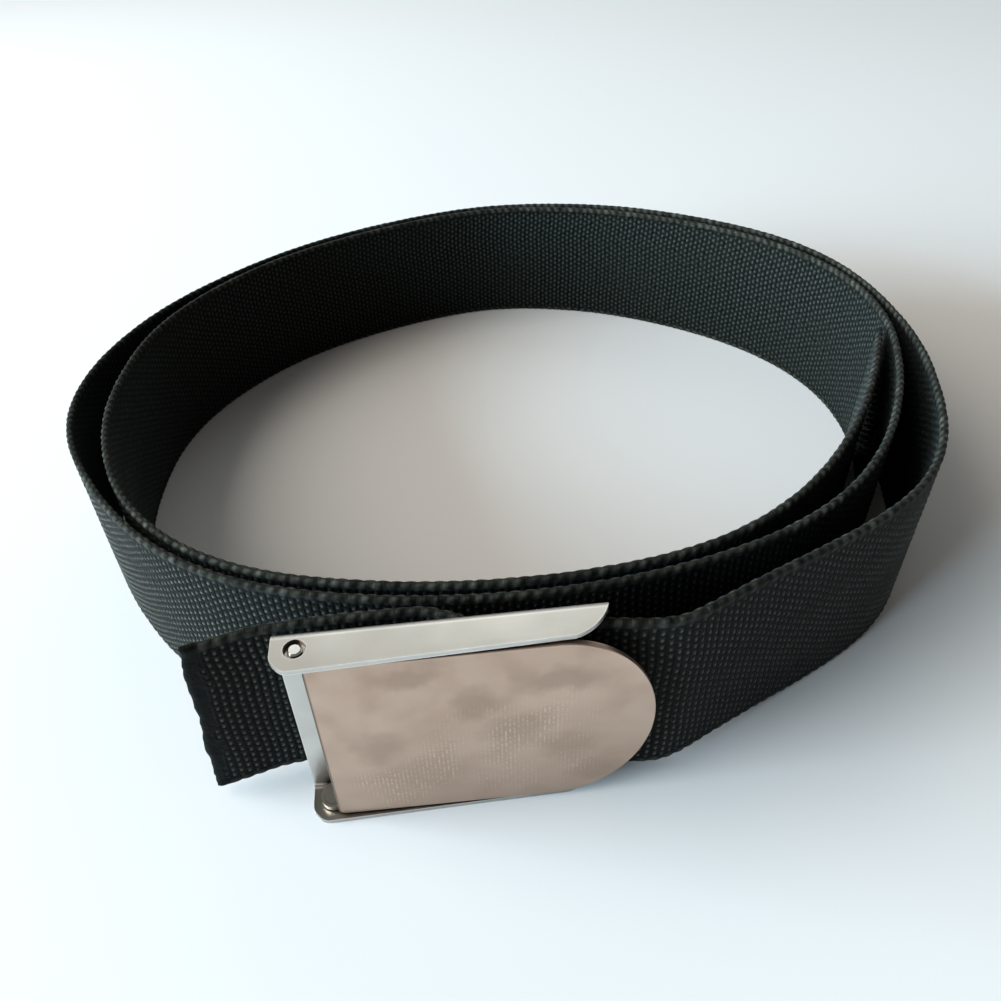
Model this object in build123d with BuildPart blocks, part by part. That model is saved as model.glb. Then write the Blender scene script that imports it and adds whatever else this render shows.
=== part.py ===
from build123d import *
import math
import os

os.makedirs("parts", exist_ok=True)

# Dive weight belt: one long strap of 2-inch webbing, stood on edge and rolled up in
# loose turns, with a stainless quick-release buckle on its outer end.
# Millimetres. +Z is across the webbing, the buckle faces -Y.
# Origin: on the surface the roll stands on, under the middle of its outline.

# ---------------------------------------------------------------- webbing
STRAP_W = 50.0          # width of the webbing
STRAP_T = 2.1           # thickness of the webbing
STRAP_LIFT = 2.8        # how far the buckle holds its own stretch off the surface

# ---------------------------------------------------------------- buckle frame
FRAME_X = -57.2         # left end of the frame, the hinge end
FRAME_Y = -113.8        # back face of its base plate
SHEET = 1.2             # stainless sheet of the frame and the jaw
FRAME_L = 67.5          # length of the frame
FRAME_W = 56.0          # over both flanges
FLANGE_H = 10.2         # flange height at the hinge end, over the base's back face
FLANGE_H_TIP = 8.4      # and where the free edge starts to curve down
FLANGE_TIP_S = 59.5     # distance of that place from the hinge end
FLANGE_ROUND = 3.2      # rounding of the flange's corners at the hinge end
BEND_R = 1.2            # inside radius of the two long bends
SLOT_L = 51.0           # webbing slots, along Z
SLOT_S = (38.0, 46.4, 54.8)   # where each of the three slots starts
SLOT_GAP = 4.6          # opening of each slot

# ---------------------------------------------------------------- hinge
PIVOT_S = 5.0           # pivot axis from the hinge end
PIVOT_H = 5.0           # pivot axis over the base's back face
PIN_D = 4.6
PIN_TIP_D = 3.0         # riveted tip, seen in the flange's hole
PIN_TIP_L = 0.9
PIN_SEAT = 0.02         # radial, pin in flange
PIN_RUN = 0.06          # radial, jaw ear on pin
EAR_R = 3.1

# ---------------------------------------------------------------- lever
LEVER_T = 1.3
LEVER_TOP = 9.2         # outer face over the base's back face
LEVER_S0 = 6.2          # its square end
LEVER_S1 = 77.0         # its rounded end
LEVER_NOSE = 21.0       # depth of the rounded end
SIDE_GAP = 0.5          # lever and jaw to each flange

# ---------------------------------------------------------------- jaw
JAW_WEB = 20.0          # where the jaw's flat web ends
JAW_BITE = 1.0          # closed gap between the teeth and the base plate
TOOTH_PITCH = 3.5
TOOTH_DEPTH = 1.2

# ---------------------------------------------------------------- route of the webbing
# Middle line of the webbing in plan, from the cut end behind the buckle.
TAIL = [(-81.0, -113.5), (-76.5, -112.6), (-72.0, -111.5), (-66.0, -109.9), (-57.0, -108.7),
        (-46.0, -108.3), (-39.0, -108.3)]
TAIL_SLANT = 3.4        # the cut end runs back by this much from its lower to its upper edge
# Through the three slots: (distance from the hinge end, height over the base's back face),
# and the radius of the bend at each place but the first and last.
WEAVE = [(24.0, -5.5), (31.0, -5.3), (37.8, -2.4), (41.85, 2.45), (47.15, 2.45),
         (50.25, -1.25), (55.55, -1.25), (58.65, 2.45), (66.5, 2.5), (72.0, 3.3)]
WEAVE_R = [12.0, 5.0, 2.2, 2.2, 2.2, 2.2, 2.2, 14.0]
OUT = [(19.5, -117.7), (24.5, -117.6), (30.0, -115.9)]
# Straight stretch on which the webbing comes down to the surface again.
RAMP = [(36.0, -113.2), (73.0, -95.5)]
COIL = [(90.0, -85.8), (101.0, -76.0), (111.0, -62.0), (119.5, -44.0), (127.0, -22.0),
        (130.6, 0.0), (131.1, 22.0), (127.0, 44.0), (117.5, 63.5), (104.5, 80.0),
        (88.0, 95.0), (67.0, 108.5), (42.0, 118.4), (15.0, 122.9), (-12.0, 119.9),
        (-36.0, 112.5), (-59.0, 102.5), (-80.0, 89.0), (-98.0, 72.5), (-113.0, 54.5),
        (-123.0, 36.0), (-129.5, 16.0), (-131.2, -5.0), (-127.5, -24.0), (-118.5, -43.0),
        (-106.0, -61.5), (-90.0, -78.5), (-69.0, -92.0), (-42.0, -100.4), (-12.0, -104.2),
        (16.0, -103.4), (44.0, -98.0), (69.0, -87.5), (90.0, -70.5), (107.0, -48.0),
        (119.5, -24.0), (126.6, -2.0), (128.2, 20.0), (123.5, 42.0), (114.0, 60.5),
        (101.5, 76.0), (85.5, 90.5), (65.5, 104.0), (41.0, 114.2), (14.0, 119.0),
        (-12.0, 115.8), (-35.0, 108.8), (-57.5, 98.8), (-78.0, 85.5), (-95.0, 69.0),
        (-108.0, 50.5), (-116.0, 30.0), (-119.0, 8.0), (-118.5, -14.0), (-113.5, -36.0),
        (-103.0, -58.0), (-87.0, -76.0), (-67.0, -88.6), (-41.0, -96.6), (-12.0, -100.4),
        (15.0, -99.8), (37.0, -95.8), (57.0, -87.2), (76.0, -73.0), (93.0, -54.5),
        (108.0, -33.5), (121.0, -11.5)]


def fx(s):
    return FRAME_X + s


def fy(h):
    return FRAME_Y - h


def beside(line, u, shift):
    """The point at u of a line, moved square to its left."""
    p, t = line @ u, line % u
    return Vector(p.X - shift * t.Y, p.Y + shift * t.X)


def run_breaks(line, pieces):
    """Where a line is cut into arcs: at its own joints, or evenly if it is one curve."""
    if len(line.edges()) == 1:
        return [i / pieces for i in range(pieces + 1)]
    cuts, total = [0.0], line.length
    for e in line.order_edges():
        cuts.append(cuts[-1] + e.length / total)
    cuts[-1] = 1.0
    return cuts


def side_edges(runs, shift):
    """One side of the webbing, as arcs end to end, drawn in the current BuildLine."""
    start = None
    for line, cuts in runs:
        for u0, u1 in zip(cuts, cuts[1:]):
            p = start if start is not None else beside(line, u0, shift)
            if line is coil_w and u0 == 0.0:
                p = ramp_b + ramp_side * shift
            q, r = beside(line, (u0 + u1) / 2, shift), beside(line, u1, shift)
            if line is out_w and u1 == 1.0:
                r = ramp_a + ramp_side * shift
            bow = abs((q - p).cross(r - p).Z) / (r - p).length
            if bow < 0.002:
                Line(p, r)
            else:
                ThreePointArc(p, q, r)
            start = r
    return start


ramp_a, ramp_b = Vector(*RAMP[0]), Vector(*RAMP[1])
ramp_dir = (ramp_b - ramp_a).normalized()
ramp_side = Vector(-ramp_dir.Y, ramp_dir.X)
ramp_len = (ramp_b - ramp_a).length

# ================================================================ strap
weave_xy = [(fx(s), fy(h)) for s, h in WEAVE]
with BuildLine(mode=Mode.PRIVATE) as tail_line:
    Spline(*TAIL, weave_xy[0])
with BuildLine(mode=Mode.PRIVATE) as weave_line:
    FilletPolyline(*weave_xy, radius=WEAVE_R)
with BuildLine(mode=Mode.PRIVATE) as out_line:
    Spline(weave_xy[-1], *OUT, RAMP[0])
with BuildLine(mode=Mode.PRIVATE) as coil_line:
    Spline(RAMP[1], *COIL)

half = STRAP_T / 2
tail_w, weave_w = tail_line.wires()[0], weave_line.wires()[0]
out_w, coil_w = out_line.wires()[0], coil_line.wires()[0]
held = [(tail_w, run_breaks(tail_w, 6)), (weave_w, run_breaks(weave_w, 0)),
        (out_w, run_breaks(out_w, 4))]
rolled = [(coil_w, run_breaks(coil_w, 90))]

tail_dir = tail_w % 0
slope = TAIL_SLANT / STRAP_W
with BuildPart() as strap:
    # stretch held by the buckle
    with BuildSketch(Plane.XY.offset(STRAP_LIFT)):
        with BuildLine():
            end_l = side_edges(held, half)
            end_r = side_edges(held, -half)
            Line(beside(tail_w, 0, half), beside(tail_w, 0, -half))
            Line(end_l, end_r)
        make_face()
    extrude(amount=STRAP_W)
    # cut end, at a slant
    with BuildSketch(Plane(origin=(TAIL[0][0], TAIL[0][1], STRAP_LIFT),
                           x_dir=(tail_dir.X, tail_dir.Y, 0),
                           z_dir=(tail_dir.Y, -tail_dir.X, 0))):
        with BuildLine():
            Polyline((-1, -1), (-slope, -1), (TAIL_SLANT + slope, STRAP_W + 1),
                     (-1, STRAP_W + 1), close=True)
        make_face()
    extrude(amount=STRAP_T, both=True, mode=Mode.SUBTRACT)
    # straight stretch coming down to the surface
    with BuildSketch(Plane(origin=(ramp_a.X, ramp_a.Y, 0), x_dir=(ramp_dir.X, ramp_dir.Y, 0),
                           z_dir=(ramp_dir.Y, -ramp_dir.X, 0))):
        with BuildLine():
            Polyline((0, STRAP_LIFT), (0, STRAP_LIFT + STRAP_W), (ramp_len, STRAP_W),
                     (ramp_len, 0), close=True)
        make_face()
    extrude(amount=half, both=True)
    # the rolled-up length, standing on the surface
    with BuildSketch(Plane.XY):
        with BuildLine():
            end_l = side_edges(rolled, half)
            end_r = side_edges(rolled, -half)
            Line(ramp_b + ramp_side * half, ramp_b - ramp_side * half)
            Line(end_l, end_r)
        make_face()
    extrude(amount=STRAP_W)

lengths = [tail_w.length, weave_w.length, out_w.length, ramp_len, coil_w.length]
print("strap runs", [round(v, 1) for v in lengths], "total", round(sum(lengths), 1))
print("strap volume / section x length", strap.part.volume / (STRAP_T * STRAP_W * sum(lengths)))

strap.part.label = "webbing_strap"
strap.part.color = Color(0.05, 0.05, 0.06)

# ================================================================ buckle frame
STEEL = Color(0.72, 0.71, 0.68)
MID_Z = FRAME_W / 2


def face_plane(h):
    """Parallel to the base plate, h over its back face: x along the buckle, y up."""
    return Plane(origin=(FRAME_X, FRAME_Y - h, 0), x_dir=(1, 0, 0), z_dir=(0, -1, 0))


def side_plane(z):
    """Across the hinge axis at height z: x along the buckle, y away from the base plate."""
    return Plane(origin=(FRAME_X, FRAME_Y, z), x_dir=(1, 0, 0), z_dir=(0, 0, -1))


with BuildPart() as frame:
    # channel section, drawn across the buckle
    with BuildSketch(Plane(origin=(FRAME_X, FRAME_Y, 0), x_dir=(0, -1, 0), z_dir=(-1, 0, 0))):
        with BuildLine():
            Polyline((0, 0), (FLANGE_H, 0), (FLANGE_H, SHEET), (SHEET, SHEET),
                     (SHEET, FRAME_W - SHEET), (FLANGE_H, FRAME_W - SHEET),
                     (FLANGE_H, FRAME_W), (0, FRAME_W), close=True)
        make_face()
    extrude(amount=-FRAME_L)
    long_edges = frame.edges().filter_by(Axis.X)
    outer_bends = long_edges.filter_by(lambda e: abs(e.center().Y - fy(0)) < 0.01)
    inner_bends = long_edges.filter_by(lambda e: abs(e.center().Y - fy(SHEET)) < 0.01)
    fillet(outer_bends, radius=BEND_R + SHEET)
    fillet(inner_bends, radius=BEND_R)
    # outline of the flanges: clipped corner at the hinge, free edge curving down at the tip
    with BuildSketch(side_plane(0)) as outline:
        with BuildLine():
            Polyline((FRAME_L, SHEET), (FRAME_L, 0), (0, 0), (0, FLANGE_H - 2.9),
                     (2.6, FLANGE_H), (FLANGE_TIP_S, FLANGE_H_TIP))
            ThreePointArc((FLANGE_TIP_S, FLANGE_H_TIP), (64.6, 5.6), (FRAME_L, SHEET))
        make_face()
        fillet(outline.vertices().filter_by(lambda v: v.X < 3 and v.Y > 5), radius=FLANGE_ROUND)
    extrude(amount=-FRAME_W, mode=Mode.INTERSECT)
    # slots for the webbing
    with BuildSketch(face_plane(-0.5)) as slots:
        for s0 in SLOT_S:
            with Locations((s0 + SLOT_GAP / 2, MID_Z)):
                RectangleRounded(SLOT_GAP, SLOT_L, 0.8)
    extrude(amount=SHEET + 1.0, mode=Mode.SUBTRACT)
    # pivot holes through both flanges
    with BuildSketch(side_plane(-1)):
        with Locations((PIVOT_S, PIVOT_H)):
            Circle(PIN_D / 2 + PIN_SEAT)
    extrude(amount=-(FRAME_W + 2), mode=Mode.SUBTRACT)
frame.part.label = "buckle_frame"
frame.part.color = STEEL

# ================================================================ lever
lever_half = FRAME_W / 2 - SHEET - SIDE_GAP
with BuildPart() as lever:
    with BuildSketch(face_plane(LEVER_TOP - LEVER_T)) as flap:
        with BuildLine():
            straight = LEVER_S1 - LEVER_NOSE
            Polyline((straight, MID_Z + lever_half), (LEVER_S0, MID_Z + lever_half),
                     (LEVER_S0, MID_Z - lever_half), (straight, MID_Z - lever_half))
            EllipticalCenterArc((straight, MID_Z), LEVER_NOSE, lever_half,
                                start_angle=-90, arc_size=180)
        make_face()
        fillet(flap.vertices().sort_by(Axis.X)[:2], radius=1.8)
    extrude(amount=LEVER_T)
    fillet(lever.faces().sort_by(Axis.Y)[0].edges(), radius=0.3)
lever.part.label = "cam_lever"
lever.part.color = STEEL

# ================================================================ toothed jaw
# A bent bracket on the back of the lever: flat web, toothed lip, one ear at each pin.
ear_in = FRAME_W / 2 - lever_half + SHEET       # inner face of the lower ear
lever_in = LEVER_TOP - LEVER_T
bite = SHEET + JAW_BITE
with BuildPart() as jaw:
    # web and lip
    with BuildSketch(side_plane(MID_Z - lever_half)):
        with BuildLine():
            Polyline((LEVER_S0 + 0.6, lever_in), (JAW_WEB, lever_in),
                     (JAW_WEB, lever_in - SHEET), (9.3, lever_in - SHEET),
                     (11.8, bite + 0.3), (10.4, bite), (LEVER_S0 + 0.6, lever_in - 1.6),
                     close=True)
        make_face()
    extrude(amount=-2 * lever_half)
    # relief beside each ear, so that only the web reaches it
    with BuildSketch(side_plane(MID_Z - lever_half)):
        with Locations((PIVOT_S + 4.5, bite + (lever_in - SHEET - bite) / 2 - 1.5)):
            Rectangle(12, lever_in - SHEET - bite + 3.0)
    extrude(amount=-(SHEET + 0.5), mode=Mode.SUBTRACT)
    with BuildSketch(side_plane(MID_Z + lever_half)):
        with Locations((PIVOT_S + 4.5, bite + (lever_in - SHEET - bite) / 2 - 1.5)):
            Rectangle(12, lever_in - SHEET - bite + 3.0)
    extrude(amount=SHEET + 0.5, mode=Mode.SUBTRACT)
    # teeth along the lip
    with BuildSketch(face_plane(0)) as gullets:
        count = int((2 * lever_half - 6) / TOOTH_PITCH)
        with Locations((PIVOT_S + 6, MID_Z)):
            with GridLocations(1, TOOTH_PITCH, 1, count):
                Rectangle(6, TOOTH_PITCH * 0.45)
    extrude(amount=bite + TOOTH_DEPTH, mode=Mode.SUBTRACT)
    # ears
    for z0 in (MID_Z - lever_half, MID_Z + lever_half - SHEET):
        with BuildSketch(side_plane(z0)):
            with BuildLine():
                Polyline((PIVOT_S, PIVOT_H - EAR_R), (PIVOT_S + 4.5, PIVOT_H - 2.2),
                         (14.5, 6.0), (16.0, lever_in), (LEVER_S0 + 0.6, lever_in),
                         (PIVOT_S, PIVOT_H + EAR_R - 0.4), close=True)
            make_face()
            with Locations((PIVOT_S, PIVOT_H)):
                Circle(EAR_R)
        extrude(amount=-SHEET)
    # pivot holes
    with BuildSketch(side_plane(-1)):
        with Locations((PIVOT_S, PIVOT_H)):
            Circle(PIN_D / 2 + PIN_RUN)
    extrude(amount=-(FRAME_W + 2), mode=Mode.SUBTRACT)
jaw.part.label = "toothed_jaw"
jaw.part.color = STEEL

# ================================================================ pivot pins
# Two short rivets, so that the webbing can pass between them.
pin_in = MID_Z - lever_half + SHEET + 0.1
for name, z_out, z_in in (("pivot_pin_lower", 0.1, pin_in),
                          ("pivot_pin_upper", FRAME_W - 0.1, FRAME_W - pin_in)):
    up = 1 if z_in > z_out else -1
    z_step = z_out + up * PIN_TIP_L
    with BuildPart() as pin:
        with Locations(Location((fx(PIVOT_S), fy(PIVOT_H), (z_step + z_in) / 2))):
            Cylinder(PIN_D / 2, abs(z_in - z_step))
        with Locations(Location((fx(PIVOT_S), fy(PIVOT_H), (z_out + z_step) / 2))):
            Cylinder(PIN_TIP_D / 2, PIN_TIP_L)
        tip = pin.faces().sort_by(Axis.Z)[0 if up > 0 else -1]
        chamfer(tip.edges(), length=0.35)
    pin.part.label = name
    pin.part.color = STEEL
    export_step(pin.part, f"parts/{name}.step")

export_step(strap.part, "parts/webbing_strap.step")
export_step(frame.part, "parts/buckle_frame.step")
export_step(lever.part, "parts/cam_lever.step")
export_step(jaw.part, "parts/toothed_jaw.step")
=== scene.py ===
# Dive weight belt: a long strap of black webbing rolled up on its edge, with a stainless
# quick-release buckle on its outer end. Metres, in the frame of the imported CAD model.
import math

import bpy
import numpy as np
from mathutils import Euler, Matrix, Vector


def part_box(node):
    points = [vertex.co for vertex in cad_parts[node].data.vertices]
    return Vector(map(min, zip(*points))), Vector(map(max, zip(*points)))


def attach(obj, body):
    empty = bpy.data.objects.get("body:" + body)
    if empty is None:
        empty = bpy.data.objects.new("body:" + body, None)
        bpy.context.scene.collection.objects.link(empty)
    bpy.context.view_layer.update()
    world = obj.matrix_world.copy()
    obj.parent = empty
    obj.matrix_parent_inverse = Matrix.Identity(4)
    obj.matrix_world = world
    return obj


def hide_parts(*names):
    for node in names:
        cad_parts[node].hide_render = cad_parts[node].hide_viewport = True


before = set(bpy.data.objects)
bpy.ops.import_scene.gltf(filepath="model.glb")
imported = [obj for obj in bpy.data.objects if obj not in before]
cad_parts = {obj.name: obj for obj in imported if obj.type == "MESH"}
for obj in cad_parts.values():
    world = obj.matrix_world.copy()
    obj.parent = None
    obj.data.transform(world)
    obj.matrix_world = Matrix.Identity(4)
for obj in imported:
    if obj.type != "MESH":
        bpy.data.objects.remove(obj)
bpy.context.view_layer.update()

MM = 0.001
SEED = 41

# ------------------------------------------------------------------ route of the webbing
# Middle line in plan, in millimetres, from the cut end behind the buckle.
STRAP_W = 50.0          # width
STRAP_T = 2.1           # thickness
STRAP_LIFT = 2.8        # how far the buckle holds its own stretch off the surface
buckle_low, buckle_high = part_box("buckle_frame")
FRAME_X = round(buckle_low[0] / MM, 2)    # hinge end of the buckle's frame
FRAME_Y = round(buckle_high[1] / MM, 2)   # back face of its base plate

TAIL = [(-81.0, -113.5), (-76.5, -112.6), (-72.0, -111.5), (-66.0, -109.9), (-57.0, -108.7),
        (-46.0, -108.3), (-39.0, -108.3)]
TAIL_SLANT = 3.4        # the cut end runs back by this much from its lower to its upper edge
# Through the slots of the buckle: distance from its hinge end, height over its back face.
WEAVE = [(24.0, -5.5), (31.0, -5.3), (37.8, -2.4), (41.85, 2.45), (47.15, 2.45),
         (50.25, -1.25), (55.55, -1.25), (58.65, 2.45), (66.5, 2.5), (72.0, 3.3)]
WEAVE_R = [12.0, 5.0, 2.2, 2.2, 2.2, 2.2, 2.2, 14.0]   # of the bends between its two ends
# Out of the buckle, down to the surface on a straight stretch, and round the roll inwards.
OUT = [(19.5, -117.7), (24.5, -117.6), (30.0, -115.9)]
RAMP = [(36.0, -113.2), (54.5, -104.35), (73.0, -95.5)]
COIL = [(90.0, -85.8), (101.0, -76.0), (111.0, -62.0), (119.5, -44.0), (127.0, -22.0),
        (130.6, 0.0), (131.1, 22.0), (127.0, 44.0), (117.5, 63.5), (104.5, 80.0),
        (88.0, 95.0), (67.0, 108.5), (42.0, 118.4), (15.0, 122.9), (-12.0, 119.9),
        (-36.0, 112.5), (-59.0, 102.5), (-80.0, 89.0), (-98.0, 72.5), (-113.0, 54.5),
        (-123.0, 36.0), (-129.5, 16.0), (-131.2, -5.0), (-127.5, -24.0), (-118.5, -43.0),
        (-106.0, -61.5), (-90.0, -78.5), (-69.0, -92.0), (-42.0, -100.4), (-12.0, -104.2),
        (16.0, -103.4), (44.0, -98.0), (69.0, -87.5), (90.0, -70.5), (107.0, -48.0),
        (119.5, -24.0), (126.6, -2.0), (128.2, 20.0), (123.5, 42.0), (114.0, 60.5),
        (101.5, 76.0), (85.5, 90.5), (65.5, 104.0), (41.0, 114.2), (14.0, 119.0),
        (-12.0, 115.8), (-35.0, 108.8), (-57.5, 98.8), (-78.0, 85.5), (-95.0, 69.0),
        (-108.0, 50.5), (-116.0, 30.0), (-119.0, 8.0), (-118.5, -14.0), (-113.5, -36.0),
        (-103.0, -58.0), (-87.0, -76.0), (-67.0, -88.6), (-41.0, -96.6), (-12.0, -100.4),
        (15.0, -99.8), (37.0, -95.8), (57.0, -87.2), (76.0, -73.0), (93.0, -54.5),
        (108.0, -33.5), (121.0, -11.5)]

# ------------------------------------------------------------------ weave of the webbing
PICK = 1.8              # spacing of the rows of knobs along the webbing
KNOB = 2.2              # spacing of the knobs in one row, across the webbing
ROW = PICK / 3          # spacing of the mesh along the webbing
COLUMN = KNOB / 3       # and across it
RELIEF = 0.42           # height of a knob
RIB = 0.24              # height of the rib that joins the knobs of a row, as part of a knob's
KNOB_HEIGHTS = (997, 61)  # table of how high each knob stands, by row and by knob
RIM = 0.95              # depth of the rounded selvage
RIM_STEPS = 10
BEAD = 3.1              # spacing of the beads in each of the two rows along the selvage
BEAD_DEPTH = 0.36
SELVAGE = 3.2           # width of the closer-woven band beside each rim
MELT = 3.6              # width of the melted band at each cut end


def unit(v):
    return v / np.linalg.norm(v)


def smoothstep(a, b, x):
    t = np.clip((x - a) / (b - a), 0, 1)
    return t * t * (3 - 2 * t)


def wobble(x, length, seed):
    """Smooth noise from -1 to 1 along x, with features of about the given length."""
    table = np.random.default_rng(SEED + seed).uniform(-1, 1, 4096)
    i = np.floor(x / length).astype(int)
    t = x / length - i
    t = t * t * (3 - 2 * t)
    return table[i % 4096] * (1 - t) + table[(i + 1) % 4096] * t


# ================================================================== camera, floor and light
CAMERA_AT = (-0.023, -0.2195, 0.178)
CAMERA_PITCH, CAMERA_ROLL = 36.1, -5.8
CAMERA_LENS = 28.34
CAMERA_SHIFT = (0.0774, -0.0674)
BELT_MIDDLE = (0, 0, 0.03)
FLOOR_HALF = 3.0


def make_camera():
    data = bpy.data.cameras.new("camera")
    data.sensor_width = 36
    data.lens = CAMERA_LENS
    data.shift_x, data.shift_y = CAMERA_SHIFT
    data.clip_start, data.clip_end = 0.01, 20
    camera = bpy.data.objects.new("camera", data)
    bpy.context.scene.collection.objects.link(camera)
    pitched = Euler((math.radians(90 - CAMERA_PITCH), 0, 0)).to_matrix().to_4x4()
    rolled = Matrix.Rotation(math.radians(CAMERA_ROLL), 4, "Z")
    camera.matrix_world = Matrix.Translation(CAMERA_AT) @ pitched @ rolled
    bpy.context.scene.camera = camera


def area_light(name, at, size, power, colour, mirrored=True):
    """A soft light aimed at the belt, and whether the steel mirrors it."""
    data = bpy.data.lights.new(name, "AREA")
    data.shape = "RECTANGLE"
    data.size, data.size_y = size
    data.energy = power
    data.color = colour
    light = bpy.data.objects.new(name, data)
    bpy.context.scene.collection.objects.link(light)
    light.location = at
    light.visible_glossy = mirrored
    aim = Vector(BELT_MIDDLE) - Vector(at)
    light.rotation_euler = aim.to_track_quat("-Z", "Y").to_euler()


def make_walls():
    """A world that is pale round the horizon and dimmer overhead."""
    world = bpy.data.worlds.new("studio")
    bpy.context.scene.world = world
    world.use_nodes = True
    nodes, link = world.node_tree.nodes, world.node_tree.links.new
    direction = nodes.new("ShaderNodeSeparateXYZ")
    link(nodes.new("ShaderNodeTexCoord").outputs["Generated"], direction.inputs[0])
    ramp = nodes.new("ShaderNodeValToRGB")
    link(direction.outputs["Z"], ramp.inputs["Fac"])
    low, high = ramp.color_ramp.elements
    low.position, low.color = 0.10, (0.88, 0.885, 0.88, 1)
    high.position, high.color = 0.34, (0.17, 0.165, 0.155, 1)
    link(ramp.outputs["Color"], nodes["Background"].inputs["Color"])
    bpy.context.scene.view_settings.view_transform = "Standard"


def make_lights():
    # the window lights the webbing, and would burn out the open lever if it showed in the steel
    area_light("window_left", (-3.0, -0.55, 0.75), (3.0, 1.3), 530, (0.66, 0.86, 1.0),
               mirrored=False)
    area_light("back_wall_glow", (0.35, 2.2, 1.9), (2.6, 1.6), 19.5, (0.98, 1.0, 0.96))
    area_light("ceiling_bounce", (-1.9, 0.0, 1.8), (2.0, 2.0), 76, (1.0, 0.93, 0.83))


def make_floor():
    """A pale floor that fades into the walls, so no edge shows."""
    data = bpy.data.meshes.new("floor")
    half = FLOOR_HALF
    data.from_pydata([(-half, -half, 0), (half, -half, 0), (half, half, 0), (-half, half, 0)],
                     [], [(0, 1, 2, 3)])
    floor = bpy.data.objects.new("floor", data)
    bpy.context.scene.collection.objects.link(floor)
    n = Nodes("pale_floor")
    place = n.node("ShaderNodeTexCoord").outputs["Object"]
    far = n.node("ShaderNodeVectorMath", {0: place}, operation="LENGTH").outputs["Value"]
    away = n.math("DIVIDE", far, FLOOR_HALF)
    n.surface(Alpha=n.grey(away, (0.30, 1.0), (0.95, 0.0)))
    n.shader.inputs["Base Color"].default_value = (0.53, 0.53, 0.53, 1)
    n.shader.inputs["Roughness"].default_value = 0.9
    n.shader.inputs["Specular IOR Level"].default_value = 0.1
    data.materials.append(n.material)


# ================================================================== node helper
class Nodes:
    """Builds one material's node tree."""

    def __init__(self, name):
        self.material = bpy.data.materials.new(name)
        self.material.use_nodes = True
        self.tree = self.material.node_tree
        self.shader = self.tree.nodes["Principled BSDF"]

    def node(self, kind, inputs=(), **settings):
        made = self.tree.nodes.new(kind)
        for key, value in settings.items():
            setattr(made, key, value)
        for key, value in dict(inputs).items():
            self.feed(made.inputs[key], value)
        return made

    def feed(self, socket, value):
        if isinstance(value, bpy.types.NodeSocket):
            self.tree.links.new(value, socket)
        else:
            socket.default_value = value

    def math(self, operation, a, b=0.0, c=0.0):
        made = self.node("ShaderNodeMath", operation=operation)
        for socket, value in zip(made.inputs, (a, b, c)):
            self.feed(socket, value)
        return made.outputs[0]

    def scaled(self, vector, scale):
        return self.node("ShaderNodeVectorMath", {0: vector, 1: scale},
                         operation="MULTIPLY").outputs[0]

    def noise(self, vector, scale, detail=3.0, roughness=0.5):
        return self.node("ShaderNodeTexNoise", {"Vector": vector, "Scale": scale,
                         "Detail": detail, "Roughness": roughness}).outputs["Fac"]

    def ramp(self, value, *stops):
        """A colour ramp through stops of (place, colour)."""
        made = self.node("ShaderNodeValToRGB", {"Fac": value})
        points = made.color_ramp.elements
        while len(points) < len(stops):
            points.new(0.5)
        for point, (at, colour) in zip(points, stops):
            point.position = at
            point.color = (*colour, 1)
        return made.outputs["Color"]

    def grey(self, value, *stops):
        """A ramp of plain numbers."""
        return self.ramp(value, *[(at, (v, v, v)) for at, v in stops])

    def mix(self, factor, a, b, blend="MIX"):
        """Mixes two colours. The colour sockets of the node are its inputs 6 and 7."""
        made = self.node("ShaderNodeMix", data_type="RGBA", blend_type=blend)
        for socket, value in zip((made.inputs[0], made.inputs[6], made.inputs[7]),
                                 (factor, a, b)):
            if isinstance(value, tuple):
                value = (*value, 1)
            self.feed(socket, value)
        return made.outputs[2]

    def bump(self, height, distance, strength=1.0, normal=None):
        made = self.node("ShaderNodeBump", {"Height": height, "Distance": distance,
                                            "Strength": strength})
        if normal is not None:
            self.feed(made.inputs["Normal"], normal)
        return made.outputs["Normal"]

    def blobs(self, place, ellipses):
        """1 inside any of the soft ellipses (x, z, half length, half height) and 0 outside."""
        total = 0.0
        for x, z, length, height in ellipses:
            offset = self.node("ShaderNodeVectorMath", {0: place, 1: (x, 0, z)},
                               operation="SUBTRACT").outputs[0]
            flat = self.scaled(offset, (1 / length, 0, 1 / height))
            far = self.node("ShaderNodeVectorMath", {0: flat}, operation="LENGTH")
            inside = self.grey(far.outputs["Value"], (0.40, 1.0), (1.0, 0.0))
            total = self.math("MAXIMUM", inside, total)
        return total

    def surface(self, **inputs):
        """Links the shader's inputs, with _ for a space in their names."""
        for key, value in inputs.items():
            self.feed(self.shader.inputs[key.replace("_", " ")], value)


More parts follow.
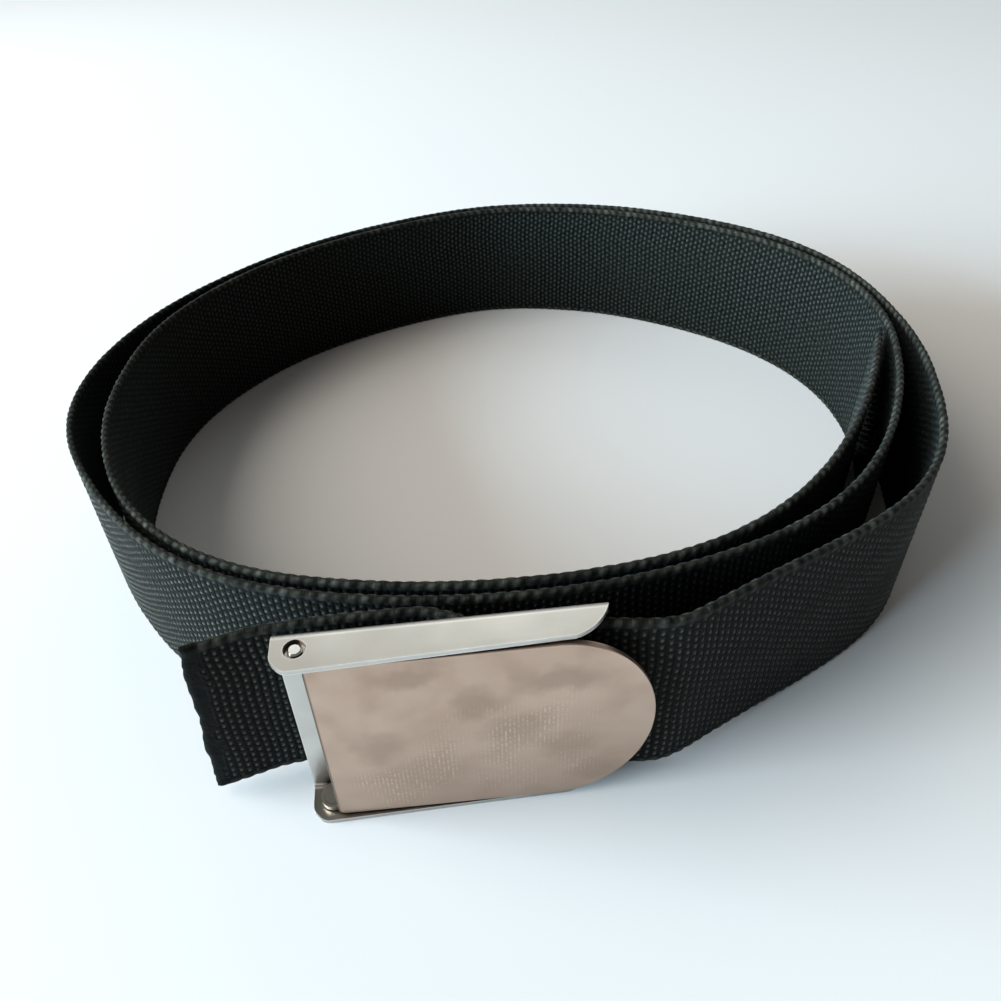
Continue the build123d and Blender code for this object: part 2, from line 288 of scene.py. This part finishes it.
# ================================================================== materials
def webbing_material():
    """Black webbing: matt yarn, with painted highlights on the knobs and painted shade between
    them.
    """
    n = Nodes("black_webbing")
    strap_uv = n.node("ShaderNodeUVMap", uv_map="strap").outputs[0]
    melted = n.node("ShaderNodeAttribute", attribute_name="melted").outputs["Fac"]
    plain = n.node("ShaderNodeAttribute", attribute_name="plain").outputs["Fac"]
    crown = n.node("ShaderNodeAttribute", attribute_name="crown").outputs["Fac"]

    # the knobs again, as in weave_height, but finer than the mesh can hold them
    weave_uv = n.node("ShaderNodeUVMap", uv_map="weave").outputs[0]
    weave = n.node("ShaderNodeSeparateXYZ", {0: weave_uv})
    row, knob = weave.outputs["X"], weave.outputs["Y"]

    def wave(value, turns):
        cosine = n.math("COSINE", n.math("MULTIPLY", value, 2 * math.pi * turns))
        return n.math("MULTIPLY_ADD", cosine, 0.5, 0.5)

    ridge = n.math("POWER", wave(row, 1), 0.7)
    even, bead = wave(row, 0.5), wave(knob, 1)
    odd, gap = n.math("SUBTRACT", 1.0, even), n.math("SUBTRACT", 1.0, bead)
    first = n.math("MULTIPLY", even, n.math("POWER", bead, 0.8))
    second = n.math("MULTIPLY", odd, n.math("POWER", gap, 0.8))
    body = n.math("MULTIPLY_ADD", second, 0.92, first)
    woven_height = n.math("MULTIPLY", ridge, n.math("MULTIPLY_ADD", body, 1 - RIB, RIB))
    relief = n.math("MULTIPLY", woven_height, n.math("SUBTRACT", 1.0, plain))
    # on the inner face the painted light and shade of the knobs stand out less, and a cool tint
    # paints a bluer light on it
    inner_face = n.node("ShaderNodeAttribute", attribute_name="inner").outputs["Fac"]
    contrast = n.math("MULTIPLY_ADD", inner_face, -0.45, 1.0)
    inner_pivot = 0.57
    relief = n.math("MULTIPLY_ADD", n.math("SUBTRACT", relief, inner_pivot), contrast, inner_pivot)

    yarn = n.noise(n.scaled(strap_uv, (2400, 5200, 1)), 1.0, 2.0, 0.6)
    by_knob = n.noise(n.scaled(weave_uv, (1.0, 2.0, 1)), 1.0, 1.0, 0.5)
    patches = n.noise(n.scaled(strap_uv, (22, 40, 1)), 1.0, 3.0, 0.55)
    lint = n.noise(n.scaled(strap_uv, (1300, 1500, 1)), 1.0, 1.0, 0.4)

    # painted shade between the knobs and painted highlights on their tops
    woven = n.ramp(relief, (0.03, (0.0012, 0.0013, 0.0010)), (0.42, (0.0046, 0.0049, 0.0038)),
                   (0.68, (0.0200, 0.0210, 0.0170)), (0.95, (0.0680, 0.0705, 0.0590)))
    # on the rims, painted highlights on the crowns of the beads and painted shade between them
    roped = n.ramp(crown, (0.15, (0.0060, 0.0062, 0.0048)), (0.50, (0.0135, 0.0138, 0.0110)),
                   (0.85, (0.0320, 0.0325, 0.0270)))
    on_rim = n.grey(plain, (0.45, 0.0), (0.95, 1.0))
    woven = n.mix(on_rim, woven, roped)
    # patches where the knobs stand out less
    flatter = n.grey(patches, (0.40, 0.0), (0.7, 0.3))
    woven = n.mix(flatter, woven, (0.0080, 0.0080, 0.0058))
    # painted light: a cool tint on the inner face
    woven = n.mix(inner_face, woven, (0.86, 0.99, 1.06), "MULTIPLY")
    # every knob and every few threads a little lighter or darker than the next
    speckle = n.math("MULTIPLY_ADD", yarn, 2.0, -0.45)
    speckle = n.math("ADD", speckle, n.math("MULTIPLY_ADD", by_knob, 2.4, -0.75))
    woven = n.node("ShaderNodeVectorMath", {0: woven, 3: n.math("MAXIMUM", speckle, 0.15)},
                   operation="SCALE").outputs[0]
    lint = n.grey(lint, (0.72, 0.0), (0.82, 0.5))
    woven = n.mix(lint, woven, (0.060, 0.062, 0.064))
    fused = n.ramp(patches, (0.3, (0.0012, 0.0012, 0.0009)), (0.7, (0.0042, 0.0042, 0.0032)))
    colour = n.mix(melted, woven, fused)

    rough = n.math("MULTIPLY_ADD", yarn, 0.24, 0.38)
    lumps = n.noise(n.scaled(strap_uv, (700, 500, 1)), 1.0, 3.0, 0.6)
    normal = n.bump(relief, 0.00040)
    normal = n.bump(yarn, 0.00010, normal=normal)
    normal = n.bump(n.math("MULTIPLY", lumps, melted), 0.00025, normal=normal)
    n.surface(Base_Color=colour, Roughness=rough, Normal=normal)
    n.shader.inputs["Specular IOR Level"].default_value = 0.03
    n.shader.inputs["Sheen Weight"].default_value = 0.025
    n.shader.inputs["Sheen Roughness"].default_value = 0.45
    n.shader.inputs["Sheen Tint"].default_value = (0.70, 0.88, 1.0, 1)
    return n.material


PAINTED_SHADE = (0.055, 0.045, 0.036)     # painted shade in the crevices of the steel and beside the lever's hinge edge
STIPPLE = (0.70, 0.60, 0.47)      # pale dots that show through the lever's finish
STIPPLE_GAP = 0.00092             # from one upright row of dots to the next
BLOT_DRIFT = 8                    # span in mm of the noise that shifts the blots' outlines

# Soft darker blots and patches of stipple on the lever, in millimetres: the place of the
# middle along and across it, half the length and half the height.
BLOTS = [(-18.8, 38.3, 6, 7), (-10.1, 29.0, 9, 7), (-28.6, 14.3, 14, 9), (-0.6, 43.6, 12, 5),
         (8.3, 9.7, 8, 5), (-39.2, 26.1, 7, 7), (-30.9, 49.0, 9, 4), (1.8, 21.0, 8, 7)]
STIPPLED = [(-15.7, 27.0, 14, 13), (-37.3, 11.0, 14, 10), (-0.4, 30.3, 11, 14),
            (-6.8, 14.9, 18, 12), (-24.0, 19.0, 12, 12)]


def lever_finish(n, place, colour, smudge_and_shade, spots, strength):
    """Blots, rows of dots in patches, painted shade towards the lower edge and a painted shadow
    along the hinge edge. Returns the colour and the dots.
    """
    half = -BLOT_DRIFT / 2
    in_mm = n.node("ShaderNodeVectorMath", {0: place, 1: (1000,) * 3, 2: (half, 0, half)},
                   operation="MULTIPLY_ADD").outputs[0]
    drift = n.node("ShaderNodeTexNoise", {"Vector": place, "Scale": 180.0,
                   "Detail": 3.0}).outputs["Color"]
    drifted = n.node("ShaderNodeVectorMath", {0: drift, 1: (BLOT_DRIFT, 0, BLOT_DRIFT),
                     2: in_mm}, operation="MULTIPLY_ADD").outputs[0]
    blot = n.blobs(drifted, BLOTS)
    colour = n.mix(n.math("MULTIPLY", blot, 0.7), colour, smudge_and_shade)

    # painted shade: a little darker towards its lower edge
    apart = n.node("ShaderNodeSeparateXYZ", {0: place})
    along = apart.outputs["X"]
    upward = n.math("DIVIDE", apart.outputs["Z"], buckle_high[2])
    colour = n.mix(n.grey(upward, (0.15, 0.42), (0.80, 0.0)), colour, smudge_and_shade)

    # upright rows, broken into dots
    row = n.math("COSINE", n.math("MULTIPLY", along, 2 * math.pi / STIPPLE_GAP))
    row = n.grey(n.math("MULTIPLY_ADD", row, 0.5, 0.5), (0.45, 0.0), (0.95, 1.0))
    broken = n.noise(n.scaled(place, (700, 1, 1500)), 1.0, 2.0, 0.6)
    dot = n.math("MULTIPLY", row, n.grey(broken, (0.44, 0.0), (0.60, 1.0)))
    patch = n.math("MULTIPLY", n.blobs(drifted, STIPPLED),
                   n.grey(spots, (0.40, 0.1), (0.58, 1.0)))
    dots = n.math("MULTIPLY", dot, n.math("MULTIPLY", patch, strength))
    colour = n.mix(dots, colour, STIPPLE)

    # painted shadow along the edge beside the hinge
    hinge_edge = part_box("cam_lever")[0][0]
    inset_mm = n.math("MULTIPLY", n.math("SUBTRACT", along, hinge_edge), 1000)
    colour = n.mix(n.grey(inset_mm, (0.30, 0.75), (0.62, 0.0)), colour, PAINTED_SHADE)
    return colour, dots


def steel_material(name, tones, smudge_and_shade, roughness, grain=(30, 900, 900), stipple=0.0):
    """Stainless sheet: a run of tones over it, smudges, fine grain, edges brighter with wear and a
    painted highlight, and painted shade in the crevices.
    """
    n = Nodes(name)
    place = n.node("ShaderNodeTexCoord").outputs["Object"]
    cloud = n.noise(n.scaled(place, (60, 60, 85)), 1.0, 2.0, 0.45)
    spots = n.noise(n.scaled(place, (140, 140, 120)), 1.0, 1.5, 0.4)
    lines = n.noise(n.scaled(place, grain), 1.0, 3.0, 0.6)
    dust = n.noise(n.scaled(place, (2600, 2600, 2600)), 1.0, 2.0, 0.5)

    dark, light = tones
    colour = n.ramp(cloud, (0.30, dark), (0.66, light))
    colour = n.mix(n.grey(spots, (0.48, 0.0), (0.74, 0.5)), colour, smudge_and_shade)
    colour = n.mix(n.math("MULTIPLY", dust, 0.10), colour, (0.9, 0.9, 0.88), "OVERLAY")

    # brighter along the edges: a painted highlight, and some wear
    rounded = n.node("ShaderNodeBevel", {"Radius": 0.0006}, samples=6).outputs[0]
    facing = n.node("ShaderNodeNewGeometry").outputs["Normal"]
    turn = n.node("ShaderNodeVectorMath", {0: rounded, 1: facing}, operation="DOT_PRODUCT")
    edge_wear_and_highlight = n.grey(turn.outputs["Value"], (0.70, 1.0), (0.995, 0.0))
    colour = n.mix(n.math("MULTIPLY", edge_wear_and_highlight, 0.7), colour, (0.92, 0.91, 0.89))

    # painted shade in the crevices, from ambient occlusion
    hidden = n.node("ShaderNodeAmbientOcclusion", {"Distance": 0.006}, samples=8)
    colour = n.mix(n.grey(hidden.outputs["AO"], (0.35, 0.9), (0.62, 0.0)), colour, PAINTED_SHADE)

    low, high = roughness
    rough = n.grey(cloud, (0.35, high), (0.65, low))
    height = lines
    if stipple:
        colour, dots = lever_finish(n, place, colour, smudge_and_shade, spots, stipple)
        height = n.math("MULTIPLY_ADD", dots, 0.8, lines)
    normal = n.bump(height, 0.00001, 0.6)
    n.surface(Base_Color=colour, Roughness=rough, Normal=normal)
    n.shader.inputs["Metallic"].default_value = 1.0
    return n.material


def give(node, material):
    """Puts one material on every slot of a CAD node."""
    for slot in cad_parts[node].material_slots:
        slot.material = material


# ================================================================== the webbing
def natural_spline(points, step):
    """Points about step apart on the smooth curve through the given ones."""
    p = np.array(points, float)
    h = np.linalg.norm(np.diff(p, axis=0), axis=1)
    a, b = np.eye(len(p)), np.zeros((len(p), 2))
    for i in range(1, len(p) - 1):
        a[i, i - 1:i + 2] = h[i - 1], 2 * (h[i - 1] + h[i]), h[i]
        b[i] = 6 * ((p[i + 1] - p[i]) / h[i] - (p[i] - p[i - 1]) / h[i - 1])
    bend = np.linalg.solve(a, b)
    found = []
    for i, run in enumerate(h):
        t = np.linspace(0, run, max(2, math.ceil(run / step)), endpoint=False)[:, None]
        u = run - t
        found.append((bend[i] * u**3 + bend[i + 1] * t**3) / (6 * run)
                     + (p[i] / run - bend[i] * run / 6) * u
                     + (p[i + 1] / run - bend[i + 1] * run / 6) * t)
    return np.vstack([*found, p[-1:]])


def rounded_line(points, radii, step):
    """A broken line with an arc of the given radius at each inner corner."""
    p = [np.array(q, float) for q in points]
    line = [p[0]]
    for a, b, c, radius in zip(p, p[1:], p[2:], radii):
        u, v = unit(a - b), unit(c - b)
        turn = math.pi - math.acos(np.clip(u @ v, -1, 1))
        reach = radius * math.tan(turn / 2)
        centre = b + unit(u + v) * math.hypot(radius, reach)
        arm = b + u * reach - centre
        side = math.copysign(1, (b - a)[0] * (c - b)[1] - (b - a)[1] * (c - b)[0])
        for angle in np.linspace(0, side * turn, max(3, math.ceil(radius * turn / step))):
            cos, sin = math.cos(angle), math.sin(angle)
            line.append(centre + np.array([cos * arm[0] - sin * arm[1],
                                           sin * arm[0] + cos * arm[1]]))
    return np.array([*line, p[-1]])


class Route:
    """The middle line of the webbing in plan, by distance from its cut end."""

    def __init__(self):
        fine = 0.15
        weave = [(FRAME_X + s, FRAME_Y - h) for s, h in WEAVE]
        tail = natural_spline([*TAIL, weave[0]], fine)
        held = rounded_line(weave, WEAVE_R, fine)
        rest = natural_spline([weave[-1], *OUT, *RAMP, *COIL], fine)
        self.line = np.vstack([tail[:-1], held[:-1], rest])
        steps = np.linalg.norm(np.diff(self.line, axis=0), axis=1)
        self.along = np.concatenate([[0], np.cumsum(steps)])
        self.length = self.along[-1]
        past_weave = len(tail) + len(held) - 2
        ramp = [np.linalg.norm(rest - np.array(p), axis=1).argmin() for p in (RAMP[0], RAMP[-1])]
        self.ramp = [self.along[past_weave + i] for i in ramp]

    def at(self, s):
        return np.stack([np.interp(s, self.along, self.line[:, k]) for k in (0, 1)], axis=-1)

    def outward(self, s):
        """Square to the line, away from the middle of the roll."""
        d = self.at(s + 0.35) - self.at(s - 0.35)
        d /= np.linalg.norm(d, axis=-1, keepdims=True)
        return np.stack([d[..., 1], -d[..., 0]], axis=-1)

    def lift(self, s):
        """Height of the lower edge over the surface."""
        start, end = self.ramp
        return STRAP_LIFT * (1 - smoothstep(start - 4, end + 4, s))


def weave_place(s, w, inner):
    """Where a point lies in the weave: rows along the webbing, knobs across it."""
    s = s + 0.30 * wobble(w, 9.0, 1) + 0.25 * wobble(s, 60.0, 2) + PICK / 2 * inner
    w = w + 0.16 * wobble(s, 5.0, 3) + 0.10 * wobble(s + 37 * w, 31.0, 4)
    return s / PICK, w / KNOB


def weave_height(row, knob):
    """Height of the weave from 0 to 1: rows of knobs, every second row offset by half."""
    ridge = (0.5 + 0.5 * np.cos(2 * math.pi * row)) ** 0.7
    even = 0.5 + 0.5 * np.cos(math.pi * row)
    bead = 0.5 + 0.5 * np.cos(2 * math.pi * knob)
    cells = np.random.default_rng(SEED + 9).uniform(0.72, 1.0, KNOB_HEIGHTS)
    i = np.round(row).astype(int) % KNOB_HEIGHTS[0]
    j = np.round(2 * knob).astype(int) % KNOB_HEIGHTS[1]
    body = even * bead ** 0.8 + 0.92 * (1 - even) * (1 - bead) ** 0.8
    return ridge * (RIB + (1 - RIB) * body) * cells[i, j]


def section():
    """The ring of points round the webbing. Each has its place across the webbing, its face
    (1 outer, -1 inner, 0 on a rim), how far round the rim it is, and which rim (1 upper)."""
    inside = STRAP_W - 2 * RIM
    across = RIM + np.linspace(0, inside, round(inside / COLUMN) + 1)
    turn = np.linspace(0, math.pi, RIM_STEPS + 1)[1:-1]
    ring = [(w, 1, 0.0, 0) for w in across]
    ring += [(STRAP_W - RIM, 0, t, 1) for t in turn]
    ring += [(w, -1, math.pi, 0) for w in across[::-1]]
    ring += [(RIM, 0, math.pi - t, -1) for t in turn]
    return np.array(ring)


def lay_out(route):
    """The grid of the webbing: each point's distance along it and across it, and the distance
    from the nearer cut end."""
    across = section()[:, 0]
    rows = np.linspace(0, route.length, round(route.length / ROW) + 1)
    s, w = np.meshgrid(rows, across, indexing="ij")

    # uneven cut ends, the outer one at a slant
    ragged = 0.38 * (1 + wobble(w, 5.5, 11)) + 0.18 * (1 + wobble(w, 1.4, 12))
    cut = (ragged + TAIL_SLANT * w / STRAP_W, route.length - ragged)
    s = s + (cut[0] - s[:1]) * (1 - smoothstep(0, 16, s))
    s = s + (cut[1] - s[-1:]) * (1 - smoothstep(0, 8, route.length - s))
    return s, w, np.minimum(s - cut[0], cut[1] - s)


def rim_beads(s, w, turn, rim):
    """Two rows of slanted beads along each rim, half a bead apart: 1 on top of a bead."""
    from_top = turn - math.pi / 2
    inner_row = smoothstep(-0.25, 0.25, from_top)
    slip = 0.35 * wobble(s, 7.0, 14) + 0.25 * wobble(s, 23.0, 15)
    bead_turn = 2 * math.pi * s / BEAD + slip + math.pi * inner_row + 0.8 * np.abs(from_top)
    bead_turn = bead_turn + np.where(w < STRAP_W / 2, 1.3, 0.0)
    big = 0.8 + 0.2 * wobble(s, BEAD, 16)
    crown = big * np.abs(np.cos(bead_turn / 2)) ** 0.9
    valley = np.exp(-(from_top / 0.28) ** 2) * (rim != 0)
    return crown * (1 - 0.35 * valley)


def webbing_shape(route):
    """The points of the grid, and what the material needs to know at each of them."""
    _, face, turn, rim = section().T
    s, w, from_end = lay_out(route)
    melt = MELT + 1.1 * wobble(w, 4.0, 5) + 0.5 * wobble(w, 1.3, 6)
    melted = 1 - smoothstep(melt - 1.2, melt + 0.3, from_end)
    crown = rim_beads(s, w, turn, rim)
    bead = -BEAD_DEPTH * (1 - crown) * (1 - 0.7 * melted)

    # the weave, which fades out in the melted ends and is closer along the selvages
    row, knob = weave_place(s, w, np.where(face < 0, 1, 0)[None, :])
    to_rim = np.minimum(w, STRAP_W - w)
    near_rim = 1 - smoothstep(RIM + 0.2, RIM + 1.7, to_rim)
    selvage = smoothstep(RIM, SELVAGE, to_rim)
    plain = 1 - (0.55 + 0.45 * selvage) * (1 - melted) * (1 - near_rim)
    lumps = 0.5 + 0.5 * wobble(w + 1.7 * s, 2.3, 7) * wobble(w - 0.8 * s, 3.1, 8)
    relief = weave_height(row, knob) * (1 - plain) + melted * lumps * 0.55

    # how far each point stands off the middle line, thinner at the very ends
    core = STRAP_T / 2 - RELIEF
    thin = 1 - 0.5 * (1 - smoothstep(-0.1, 1.0, from_end))
    rim_half = STRAP_T / 2 - 0.03 + 0.9 * bead
    off = face * ((core + RELIEF * relief) * (1 - near_rim) + rim_half * near_rim)
    on_rim = rim != 0
    off = np.where(on_rim, np.cos(turn) * rim_half, off) * thin
    w = np.where(on_rim, w + rim * np.sin(turn) * (RIM + 0.8 * bead), w)

    # edges that are never quite straight
    w = w + (0.16 * wobble(s, 38.0, 13) - 0.16) * smoothstep(10, 45, w)

    plan = route.at(s) + route.outward(s) * off[..., None]
    height = route.lift(s) + w
    points = np.concatenate([plan, height[..., None]], axis=-1)
    inner = np.broadcast_to(face < 0, s.shape) * (1 - plain)
    shades = {"plain": plain, "melted": melted, "crown": crown, "inner": inner}
    return points, s, w, row, knob, shades


def end_caps(rows, ring, count):
    """Faces over the two cut ends: quads from the outer face to the inner one, and one face
    over each rounded rim."""
    steps = RIM_STEPS - 1
    outer = np.arange(count)
    inner = count + steps + np.arange(count)[::-1]
    caps, rim_caps = [], []
    for start, flip in ((0, True), ((rows - 1) * ring, False)):
        cap = np.stack([outer[:-1], outer[1:], inner[1:], inner[:-1]], -1) + start
        caps.append(cap[:, ::-1] if flip else cap)
        top = [count - 1, *range(count, count + steps), count + steps]
        bottom = [2 * count + steps - 1, *range(2 * count + steps, 2 * count + 2 * steps), 0]
        for loop in (top, bottom):
            loop = [start + i for i in loop]
            rim_caps.append(loop[::-1] if flip else loop)
    return np.vstack(caps), rim_caps


def make_webbing(route):
    """One closed mesh grid: rows along the webbing, the ring of the section in each row."""
    across, face, _, _ = section().T
    points, s, w, row, knob, shades = webbing_shape(route)
    rows, ring = s.shape

    base = (np.arange(rows - 1) * ring)[:, None]
    k = np.arange(ring)[None, :]
    after = (k + 1) % ring
    quads = np.stack([base + k, base + after, base + ring + after, base + ring + k],
                     axis=-1).reshape(-1, 4)
    caps, rim_caps = end_caps(rows, ring, int((face == 1).sum()))

    mesh = bpy.data.meshes.new("webbing")
    loops = np.concatenate([quads.ravel(), caps.ravel(), *[np.array(r) for r in rim_caps]])
    sizes = np.concatenate([np.full(len(quads) + len(caps), 4), [len(r) for r in rim_caps]])
    starts = np.concatenate([[0], np.cumsum(sizes)[:-1]])
    mesh.vertices.add(rows * ring)
    mesh.vertices.foreach_set("co", (points * MM).ravel())
    mesh.loops.add(len(loops))
    mesh.loops.foreach_set("vertex_index", loops.astype(np.int32))
    mesh.polygons.add(len(sizes))
    mesh.polygons.foreach_set("loop_start", starts.astype(np.int32))
    mesh.polygons.foreach_set("use_smooth", np.ones(len(sizes), bool))
    mesh.update(calc_edges=True)

    # v runs once round the section, and its last quad closes the ring
    girth = np.concatenate([[0], np.cumsum(np.hypot(np.diff(across), np.diff(face)))])
    v0 = np.tile(girth, rows - 1)
    v1 = np.tile(np.append(girth[1:], girth[-1] + 0.5), rows - 1)
    uv = np.stack([s.ravel()[quads], np.stack([v0, v1, v1, v0], -1)], -1)
    on_quads = quads.size
    flat = np.zeros((len(loops), 2))
    flat[:on_quads] = uv.reshape(-1, 2)
    flat[on_quads:, 1] = w.ravel()[loops[on_quads:]]
    mesh.uv_layers.new(name="strap").data.foreach_set("uv", (flat * MM).ravel())
    woven = np.stack([row.ravel(), knob.ravel()], -1)[loops]
    mesh.uv_layers.new(name="weave").data.foreach_set("uv", woven.ravel())
    for name, values in shades.items():
        attribute = mesh.attributes.new(name, "FLOAT", "POINT")
        attribute.data.foreach_set("value", values.ravel().astype(np.float32))
    mesh.validate()

    strap = bpy.data.objects.new("webbing", mesh)
    bpy.context.scene.collection.objects.link(strap)
    mesh.materials.append(webbing_material())
    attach(strap, "belt")
    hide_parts("webbing_strap")


# ================================================================== the buckle
def dress_buckle():
    give("cam_lever", steel_material("lever_steel", ((0.486, 0.357, 0.285), (0.548, 0.414, 0.331)),
                                     (0.380, 0.278, 0.214), (0.36, 0.44), stipple=0.60))
    frame_steel = steel_material("frame_steel", ((0.53, 0.52, 0.49), (0.59, 0.58, 0.55)),
                                 (0.50, 0.49, 0.46), (0.28, 0.38))
    give("buckle_frame", frame_steel)
    give("toothed_jaw", frame_steel)
    pin_steel = steel_material("pin_steel", ((0.66, 0.65, 0.62), (0.82, 0.81, 0.79)),
                               (0.55, 0.54, 0.52), (0.14, 0.22), grain=(900, 900, 900))
    give("pivot_pin_lower", pin_steel)
    give("pivot_pin_upper", pin_steel)


make_camera()
make_walls()
make_lights()
make_floor()
route = Route()
print("webbing length, mm", round(route.length, 1))
make_webbing(route)
dress_buckle()

bpy.context.view_layer.update()
